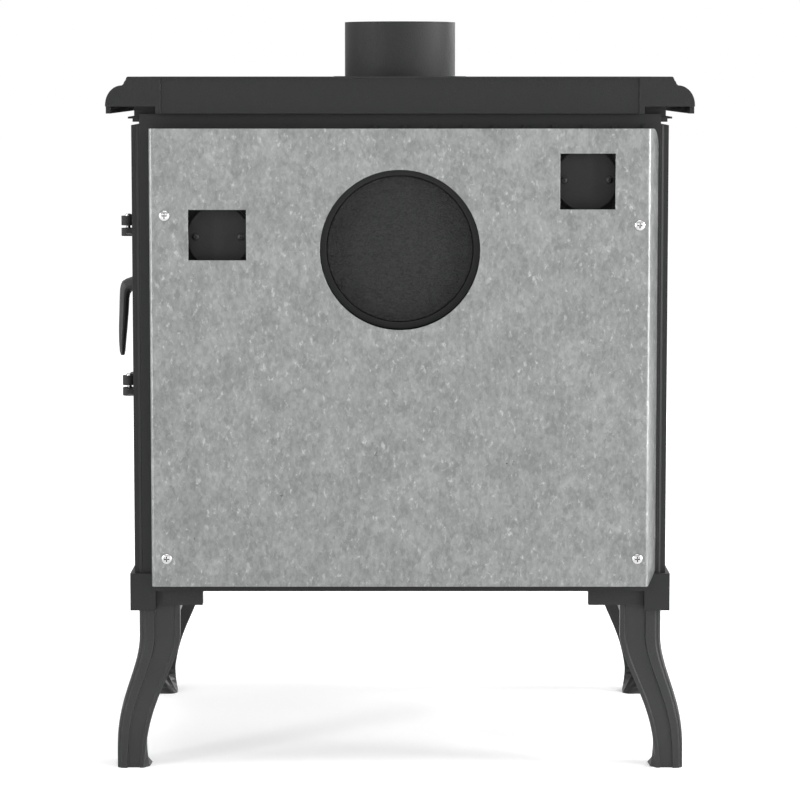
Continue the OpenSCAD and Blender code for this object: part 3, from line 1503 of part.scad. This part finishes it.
fence_t = 8;
module log_fence() {
  half = riddle_cut_half + support_w * 2;
  y = [grate_y[0] + over, grate_y[0] + over + fence_t];
  color(dark_iron) {
    span([-half, half], y, [grate_z + fence_h - 2 * fence_t, grate_z + fence_h]);
    for (x = [-half, -half / 3, half / 3 - fence_t, half - fence_t])
      span([x, x + fence_t], y, [grate_z, grate_z + fence_h - 2 * fence_t]);
  }
}

top_plate();
flue_collar();
collar_screws();
seal_sheet();
top_frame();
back_plate();
left_side_panel();
right_side_panel();
front_frame();
base_casting();
ash_lip();
leg_front_left();
leg_front_right();
leg_rear_left();
leg_rear_right();
leg_brackets();
leg_bolts();
tie_rods();
rear_heat_shield();
shield_screws();
shield_spacers();
rear_flue_cover();
cover_clamp_bar();
cover_bolt();
port_cover_left();
port_cover_right();
port_screws();
baffle_plate();
baffle_supports();
back_firebricks();
left_firebricks();
right_firebricks();
grate_frame();
log_fence();
riddling_grate();
riddling_rod();
riddling_knob();
ash_drawer_front();
ash_pan();
ash_drawer_knob();
primary_air_slide();
airwash_slide();
front_door();
front_glass();
glass_clips();
glass_screws();
front_door_rope();
front_hinge_pins();
front_handle();
front_latch_tongue();
side_door();
side_door_rope();
side_hinge_pins();
side_handle();
side_latch_tongue();
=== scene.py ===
import json
import math

import bpy
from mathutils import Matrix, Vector


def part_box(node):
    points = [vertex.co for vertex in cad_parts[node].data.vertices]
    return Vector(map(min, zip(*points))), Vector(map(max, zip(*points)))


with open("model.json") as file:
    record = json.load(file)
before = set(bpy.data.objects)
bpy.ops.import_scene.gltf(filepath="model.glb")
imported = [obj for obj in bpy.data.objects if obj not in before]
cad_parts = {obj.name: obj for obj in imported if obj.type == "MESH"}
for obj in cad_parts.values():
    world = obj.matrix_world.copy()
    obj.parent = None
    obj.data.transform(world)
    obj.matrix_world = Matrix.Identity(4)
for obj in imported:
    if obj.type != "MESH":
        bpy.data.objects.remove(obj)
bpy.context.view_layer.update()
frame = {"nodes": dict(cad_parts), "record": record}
nodes = frame["nodes"]

# Sockets of the colour Mix node, which share their names with its other kinds.
MIX_FACTOR, MIX_A, MIX_B, MIX_RESULT = 0, 6, 7, 2
BEVEL_SAMPLES = 4
HOLLOW_SAMPLES = 6
# A soft noise lies between these values nearly everywhere.
LOW, HIGH = 0.3, 0.7


class Tree:
    """Short calls that build a node tree."""

    def __init__(self, tree):
        self.tree = tree
        tree.nodes.clear()

    def add(self, kind, **settings):
        node = self.tree.nodes.new(kind)
        for key, value in settings.items():
            setattr(node, key, value)
        return node

    def link(self, output, socket):
        self.tree.links.new(output, socket)

    def put(self, socket, value):
        if isinstance(value, bpy.types.NodeSocket):
            self.link(value, socket)
        else:
            socket.default_value = value

    def feed(self, node, **values):
        """Link or set a node's inputs by name, with _ for a space."""
        for key, value in values.items():
            self.put(node.inputs[key.replace("_", " ")], value)
        return node

    def maths(self, operation, a, b):
        node = self.add("ShaderNodeMath", operation=operation)
        self.put(node.inputs[0], a)
        self.put(node.inputs[1], b)
        return node.outputs[0]

    def plus(self, a, b):
        return self.maths("ADD", a, b)

    def times(self, a, b):
        return self.maths("MULTIPLY", a, b)

    def curve(self, value, low, high, to_low=0.0, to_high=1.0, kind="LINEAR"):
        """Carry low..high over to to_low..to_high, held at both ends."""
        node = self.add("ShaderNodeMapRange", interpolation_type=kind)
        self.feed(node, Value=value, From_Min=low, From_Max=high, To_Min=to_low, To_Max=to_high)
        return node.outputs["Result"]

    def axes(self, vector):
        split = self.add("ShaderNodeSeparateXYZ")
        self.link(vector, split.inputs[0])
        return split.outputs

    def background_rays(self):
        """1 for the rays that see the plain white background."""
        path = self.add("ShaderNodeLightPath")
        seen = path.outputs["Is Camera Ray"]
        for ray in ("Is Glossy Ray", "Is Transmission Ray"):
            seen = self.maths("MAXIMUM", seen, path.outputs[ray])
        return seen


class Shader(Tree):
    """A material with one Principled shader. Lengths are in metres and noise scales in 1/metre."""

    def __init__(self, name):
        self.material = bpy.data.materials.new(name)
        self.material.use_nodes = True
        super().__init__(self.material.node_tree)
        self.out = self.add("ShaderNodeOutputMaterial")
        self.shader = self.add("ShaderNodeBsdfPrincipled")
        self.link(self.shader.outputs["BSDF"], self.out.inputs["Surface"])
        self.place = self.add("ShaderNodeTexCoord").outputs["Object"]

    def set(self, **values):
        self.feed(self.shader, **values)

    def stretch(self, scale):
        return self.feed(self.add("ShaderNodeMapping"), Vector=self.place, Scale=scale).outputs["Vector"]

    def noise(self, scale, detail=3.0, rough=0.55, warp=0.0, at=None, output="Fac"):
        node = self.add("ShaderNodeTexNoise")
        self.feed(node, Vector=at or self.place, Scale=scale, Detail=detail, Roughness=rough, Distortion=warp)
        return node.outputs[output]

    def cells(self, scale, output, at=None):
        node = self.feed(self.add("ShaderNodeTexVoronoi"), Vector=at or self.place, Scale=scale)
        return node.outputs[output]

    def flakes(self, scale, at):
        """One random tone for each cell."""
        split = self.add("ShaderNodeSeparateColor")
        self.link(self.cells(scale, "Color", at), split.inputs[0])
        return split.outputs[0]

    def mix(self, factor, a, b):
        """Colour a where factor is 0 and b where it is 1."""
        node = self.add("ShaderNodeMix", data_type="RGBA")
        self.put(node.inputs[MIX_FACTOR], factor)
        for socket, colour in ((MIX_A, a), (MIX_B, b)):
            self.put(node.inputs[socket], (*colour, 1) if isinstance(colour, tuple) else colour)
        return node.outputs[MIX_RESULT]

    def rounded(self, radius):
        """The normal with every edge rounded by radius."""
        return self.feed(self.add("ShaderNodeBevel", samples=BEVEL_SAMPLES), Radius=radius).outputs["Normal"]

    def bump(self, height, distance, strength=1.0, soft=0.0):
        node = self.feed(self.add("ShaderNodeBump"), Height=height, Distance=distance, Strength=strength)
        if soft:
            self.link(self.rounded(soft), node.inputs["Normal"])
        self.link(node.outputs["Normal"], self.shader.inputs["Normal"])

    def edge_wear_and_highlight(self, radius):
        """Near 1 along edges, where the rounded normal leaves the face's own, and 0 on flat faces."""
        flat, worn_and_lit = 0.995, 0.8
        dot = self.add("ShaderNodeVectorMath", operation="DOT_PRODUCT")
        self.link(self.rounded(radius), dot.inputs[0])
        self.link(self.add("ShaderNodeNewGeometry").outputs["Normal"], dot.inputs[1])
        return self.curve(dot.outputs["Value"], flat, worn_and_lit)


def cast_iron(name, low, high, rough=(0.46, 0.62), grain=0.00022, hammer=0.0, spec=0.18,
              wear_and_highlight=(0.35, 0.0012, 0.0)):
    """Matt stove paint on a sand casting: fine grain, faint patches, and edges painted lighter, partly as
    rubbed wear and partly as painted highlight.

    low and high are the paint's darkest and lightest tones, grain and hammer the depths of the grain
    and of hammered folds (with painted shade in their valleys), and the last argument the strength, width and
    least share of the lighter edges.
    """
    s = Shader(name)
    patches = s.noise(9, 4, 0.6)
    fine = s.noise(520, 2, 0.6)
    specks = s.noise(1500, 1, 0.5)
    tone = s.plus(s.curve(patches, LOW, HIGH, 0, 0.6), s.curve(fine, LOW, HIGH, 0, 0.4))
    colour = s.mix(tone, low, high)

    # Edges painted lighter: patchy rubbed wear, plus an even painted highlight on every edge as far as the
    # least share goes.
    strength, radius, least = wear_and_highlight
    rubbed_and_lit_gain = 1.9
    worn_and_lit = s.times(s.edge_wear_and_highlight(radius), s.curve(s.noise(60), 0.45, 0.65, least))
    colour = s.mix(s.times(worn_and_lit, strength), colour, tuple(rubbed_and_lit_gain * v for v in high))

    height = s.plus(fine, s.times(specks, 0.5))
    depth = grain
    if hammer:
        folds = s.noise(300, 3, 0.6, 1.6, s.stretch((0.75, 1, 1.15)))
        swell = s.noise(90, 2, 0.5, 0.8)
        height = s.plus(s.times(swell, 0.5), s.plus(folds, s.times(height, 0.25)))
        # Painted shade: the valleys between the hammered folds are darkened almost to black.
        valley_shade = (0.006, 0.006, 0.006)
        colour = s.mix(s.curve(folds, 0.36, 0.6, 0.55, 0), colour, valley_shade)
        depth = hammer
    s.bump(height, depth, soft=0.0009)
    s.set(Base_Color=colour, Roughness=s.curve(patches, LOW, HIGH, *rough), Metallic=0.0,
          Specular_IOR_Level=spec)
    return s.material


def galvanised(name):
    """Hot dipped sheet: soft upright spangles in drifting clouds, with a few bright flecks."""
    s = Shader(name)
    upright = s.stretch((1, 1, 0.62))
    shift = s.add("ShaderNodeVectorMath", operation="SCALE")
    shift.inputs["Scale"].default_value = 0.009
    s.link(s.noise(260, 3, 0.5, 0.0, upright, "Color"), shift.inputs[0])
    moved = s.add("ShaderNodeVectorMath", operation="ADD")
    s.link(upright, moved.inputs[0])
    s.link(shift.outputs[0], moved.inputs[1])
    at = moved.outputs[0]

    large = s.flakes(125, at)
    small = s.flakes(270, at)
    chance = s.flakes(370, at)
    streaks = s.noise(210, 4, 0.62, 0.6, upright)
    cloud = s.noise(24, 5, 0.62)
    spangles = s.plus(s.times(large, 0.2), s.times(small, 0.2))
    drift = s.plus(s.curve(streaks, 0.32, 0.68, 0, 0.36), s.curve(cloud, LOW, HIGH, 0, 0.3))
    dull, light, bright = (0.148, 0.1525, 0.1515), (0.262, 0.2685, 0.2665), (0.46, 0.47, 0.47)
    colour = s.mix(s.curve(s.plus(spangles, drift), 0.28, 0.92), dull, light)
    fleck = s.times(s.curve(chance, 0.88, 1.0), s.curve(streaks, 0.44, 0.62))
    colour = s.mix(s.times(fleck, 0.5), colour, bright)
    s.bump(streaks, 0.00008, 0.6, soft=0.001)
    s.set(Base_Color=colour, Metallic=0.6,
          Roughness=s.plus(s.curve(small, 0, 1, 0.3, 0.4), s.curve(cloud, LOW, HIGH, -0.03, 0.03)))
    return s.material


def plated(name, low, high, rough):
    """Bright or blackened fixings with faint turning marks, dulled patches and painted shade in their
    hollows.
    """
    s = Shader(name)
    dull = s.noise(150)
    s.bump(s.noise(900, 2, 0.5, 0.4), 0.00006, 0.7, soft=0.0003)
    # Painted shade: ambient occlusion darkens the hollows, such as screw recesses, almost to black.
    hollow = s.feed(s.add("ShaderNodeAmbientOcclusion", samples=HOLLOW_SAMPLES), Distance=0.003)
    unshaded = s.curve(hollow.outputs["AO"], 0.45, 0.85)
    recess_shade = (0.012, 0.012, 0.012)
    colour = s.mix(unshaded, recess_shade, s.mix(s.curve(dull, LOW, HIGH), low, high))
    s.set(Base_Color=colour, Metallic=1.0, Roughness=s.curve(dull, LOW, HIGH, *rough))
    return s.material


def sooty_iron(name):
    """Bare casting inside the firebox, with soot and a little rust."""
    s = Shader(name)
    soot = s.noise(18, 5, 0.65)
    black, iron, brown = (0.02, 0.019, 0.018), (0.075, 0.07, 0.066), (0.12, 0.055, 0.03)
    colour = s.mix(s.curve(soot, 0.35, 0.65), black, iron)
    colour = s.mix(s.curve(s.noise(45, 5, 0.7), 0.58, 0.72, 0, 0.4), colour, brown)
    s.bump(s.noise(420, 3, 0.6), 0.0004, soft=0.0008)
    s.set(Base_Color=colour, Roughness=s.curve(soot, LOW, HIGH, 0.6, 0.85), Metallic=0.0)
    return s.material


def firebrick(name, joints=()):
    """Pressed lining board: buff with mica flecks, a soot veil that thickens upwards and dark joints.

    joints are pairs of an axis and the joint's place on it.
    """
    s = Shader(name)
    grain = s.noise(240, 4, 0.7)
    flakes = s.cells(420, "Distance")
    deep, buff, mica = (0.3, 0.235, 0.16), (0.5, 0.42, 0.31), (0.75, 0.66, 0.48)
    soot, joint = (0.05, 0.045, 0.04), (0.02, 0.018, 0.016)
    colour = s.mix(s.curve(grain, 0.35, 0.65), deep, buff)
    colour = s.mix(s.curve(flakes, 0.12, 0.05, 0, 0.5), colour, mica)
    along = s.axes(s.place)
    veil_z = (0.3, 0.65)
    veil = s.times(s.curve(along[2], *veil_z, 0.15, 0.6), s.curve(s.noise(12, 4), 0.35, 0.65, 0.2, 1.0))
    colour = s.mix(veil, colour, soot)
    for axis, at in joints:
        away = s.maths("ABSOLUTE", s.maths("SUBTRACT", along[axis], at), 0)
        colour = s.mix(s.curve(away, 0.0006, 0.002, 0.85, 0), colour, joint)
    s.bump(s.plus(grain, flakes), 0.0005, soft=0.0012)
    s.set(Base_Color=colour, Roughness=0.92)
    return s.material


def woven_rope(name):
    """Black glass fibre rope: short twisted strands with some fuzz."""
    s = Shader(name)
    wave = s.add("ShaderNodeTexWave", wave_type="BANDS", bands_direction="DIAGONAL")
    strands = s.feed(wave, Vector=s.place, Scale=160, Distortion=1.5).outputs["Fac"]
    fuzz = s.noise(900)
    s.bump(s.plus(strands, s.times(fuzz, 0.5)), 0.0006)
    s.set(Base_Color=s.mix(strands, (0.035, 0.035, 0.034), (0.11, 0.108, 0.105)),
          Roughness=s.curve(fuzz, LOW, HIGH, 0.8, 0.95))
    return s.material


def stove_glass(name):
    """Ceramic glass with a faint smoky tint, through which the firebox shows."""
    s = Shader(name)
    haze = s.noise(14, 4, 0.6)
    s.set(Base_Color=s.mix(s.curve(haze, LOW, HIGH), (0.012, 0.011, 0.01), (0.04, 0.037, 0.033)),
          Roughness=s.curve(haze, 0.35, HIGH, 0.03, 0.09), Alpha=0.32, Specular_IOR_Level=1.0)
    return s.material


# Finishes by the record's material slots
finishes = {
    "cast_iron": cast_iron("cast_iron_paint", (0.0165, 0.0168, 0.0171), (0.0225, 0.0228, 0.0231)),
    "handle_iron": cast_iron("handle_paint", (0.028, 0.0284, 0.0288), (0.036, 0.0363, 0.0366),
                             rough=(0.36, 0.48), grain=0.00012, spec=0.3),
    "bracket_iron": cast_iron("bracket_paint", (0.02, 0.0202, 0.0204), (0.027, 0.0272, 0.0274),
                              rough=(0.55, 0.7)),
    "firebox_iron": sooty_iron("firebox_iron"),
    "dark_fixings": plated("black_fixings", (0.03, 0.03, 0.0315), (0.065, 0.065, 0.0665), (0.4, 0.55)),
    "bright_fixings": plated("bright_fixings", (0.42, 0.42, 0.42), (0.62, 0.62, 0.61), (0.14, 0.26)),
    "galvanised_sheet": galvanised("galvanised_sheet"),
    "firebrick": firebrick("firebrick"),
    "door_rope": woven_rope("door_rope"),
    "stove_glass": stove_glass("stove_glass"),
}
hammered = cast_iron("hammered_cover", (0.031, 0.0314, 0.0318), (0.04, 0.0404, 0.0408),
                     rough=(0.42, 0.56), grain=0.0002, hammer=0.003)
# Painted light: the legs get a lighter copy of the body paint, with an even painted highlight along every
# edge of their beads.
lit_leg_paint = cast_iron("lit_leg_paint", (0.0185, 0.0188, 0.0191), (0.0248, 0.0251, 0.0254),
                      rough=(0.38, 0.5), grain=0.0002, spec=0.28, wear_and_highlight=(1.0, 0.002, 0.7))
# Painted shade: the top plate gets a darker copy of the body paint, with an even painted highlight along its
# edges.
shaded_plate_paint = cast_iron("shaded_plate_paint", (0.0142, 0.0145, 0.0148), (0.0195, 0.0198, 0.0201),
                        wear_and_highlight=(0.8, 0.002, 0.6))

# Bricks along x, y and z in each lining, for their joint lines
brick_rows = {"back_firebricks": (3, 1, 2), "left_firebricks": (1, 2, 1), "right_firebricks": (1, 2, 1)}

# Nodes whose finish isn't their slot's plain one
own_finish = {"rear_flue_cover": hammered, "top_plate": shaded_plate_paint}
for name in nodes:
    if name.startswith(("leg_front", "leg_rear")):
        own_finish[name] = lit_leg_paint
for name, counts in brick_rows.items():
    low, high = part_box(name)
    own_finish[name] = firebrick(name, [(axis, low[axis] + (high[axis] - low[axis]) * k / counts[axis])
                                        for axis in range(3) for k in range(1, counts[axis])])

slots = {entry["node"]: entry["material_slot"] for entry in frame["record"]["subparts"]}
for name, node in nodes.items():
    material = own_finish.get(name, finishes[slots[name]])
    if not node.material_slots:
        node.data.materials.append(material)
    for slot in node.material_slots:
        slot.material = material


def studio_floor():
    """A plain matt floor with a faint glow of its own that turns it white far from the stove."""
    half = 30
    mesh = bpy.data.meshes.new("studio_floor")
    mesh.from_pydata([(-half, -half, 0), (half, -half, 0), (half, half, 0), (-half, half, 0)], [],
                     [(0, 1, 2, 3)])
    floor = bpy.data.objects.new("studio_floor", mesh)
    bpy.context.scene.collection.objects.link(floor)

    s = Shader("studio_floor")
    s.set(Base_Color=s.mix(s.curve(s.noise(6, 2), LOW, HIGH), (0.79, 0.79, 0.79), (0.81, 0.81, 0.81)),
          Roughness=0.9, Specular_IOR_Level=0.0)
    away = s.add("ShaderNodeVectorMath", operation="LENGTH")
    s.link(s.place, away.inputs[0])
    near, far = 0.8, 4.0
    glow = s.curve(away.outputs["Value"], near, far, 0.36, 0.74, "SMOOTHSTEP")
    light = s.feed(s.add("ShaderNodeEmission"), Strength=s.times(s.background_rays(), glow))
    both = s.add("ShaderNodeAddShader")
    s.link(s.shader.outputs["BSDF"], both.inputs[0])
    s.link(light.outputs[0], both.inputs[1])
    s.link(both.outputs[0], s.out.inputs["Surface"])
    floor.data.materials.append(s.material)
    return floor


def studio_world():
    """White where it is seen, and a dim light from all round that is stronger from -x."""
    world = bpy.data.worlds.new("studio")
    bpy.context.scene.world = world
    world.use_nodes = True
    t = Tree(world.node_tree)
    white = (1, 1, 1, 1)
    side = t.axes(t.add("ShaderNodeTexCoord").outputs["Generated"])[0]
    dim = t.feed(t.add("ShaderNodeBackground"), Color=white, Strength=t.curve(side, -1, 1, 0.56, 0.26))
    seen = t.feed(t.add("ShaderNodeBackground"), Color=white, Strength=1.0)
    swap = t.add("ShaderNodeMixShader")
    t.link(t.background_rays(), swap.inputs[0])
    t.link(dim.outputs[0], swap.inputs[1])
    t.link(seen.outputs[0], swap.inputs[2])
    t.link(swap.outputs[0], t.add("ShaderNodeOutputWorld").inputs["Surface"])


def softbox(name, place, aim, width, height, watts):
    light = bpy.data.lights.new(name, "AREA")
    light.shape = "RECTANGLE"
    light.size = width
    light.size_y = height
    light.energy = watts
    obj = bpy.data.objects.new(name, light)
    obj.location = place
    obj.rotation_euler = (Vector(aim) - Vector(place)).to_track_quat("-Z", "Y").to_euler()
    bpy.context.scene.collection.objects.link(obj)


studio_floor()
studio_world()
# Name, place, aim, width and height in metres, and watts
softbox("key_right", (-2.9, 0.4, 1.2), (0, 0, 0.5), 0.8, 2.2, 100)
softbox("fill_left", (2.9, 0.6, 1.1), (0, 0, 0.45), 0.9, 2.0, 24)
softbox("strip_right", (-2.5, 2.0, 0.9), (0, 0.2, 0.45), 0.9, 2.0, 48)
softbox("strip_left", (2.5, 2.0, 0.9), (0, 0.2, 0.45), 0.4, 2.0, 40)
softbox("camera_side", (0, 4.2, 0.95), (0, 0.1, 0.45), 3.6, 2.4, 26)
softbox("behind_right", (-2.2, -2.8, 1.8), (0, 0, 0.45), 1.6, 1.6, 70)
softbox("overhead", (0, 0.2, 3.6), (0, 0, 0.5), 2.6, 2.6, 55)

# The camera looks at the back of the stove, from the height of its top plate.
FRAME_PX = 800
FOCAL_PX = 2750
SENSOR_MM = 36
SHIFT = -0.1
SHIELD_Y = 0.214
DISTANCE = 3.025
EYE_Z = 0.7752
MIDDLE_Z = 0.4175
camera_data = bpy.data.cameras.new("camera")
camera_data.sensor_width = SENSOR_MM
camera_data.lens = FOCAL_PX / FRAME_PX * SENSOR_MM
camera_data.shift_y = SHIFT
camera_data.clip_end = 100
camera = bpy.data.objects.new("camera", camera_data)
down = math.atan((EYE_Z - MIDDLE_Z) / DISTANCE) - math.atan(-SHIFT * FRAME_PX / FOCAL_PX)
camera.location = (0, SHIELD_Y + DISTANCE, EYE_Z)
camera.rotation_euler = (math.pi / 2 - down, 0, math.pi)
bpy.context.scene.collection.objects.link(camera)
bpy.context.scene.camera = camera
bpy.context.scene.view_settings.view_transform = "Standard"
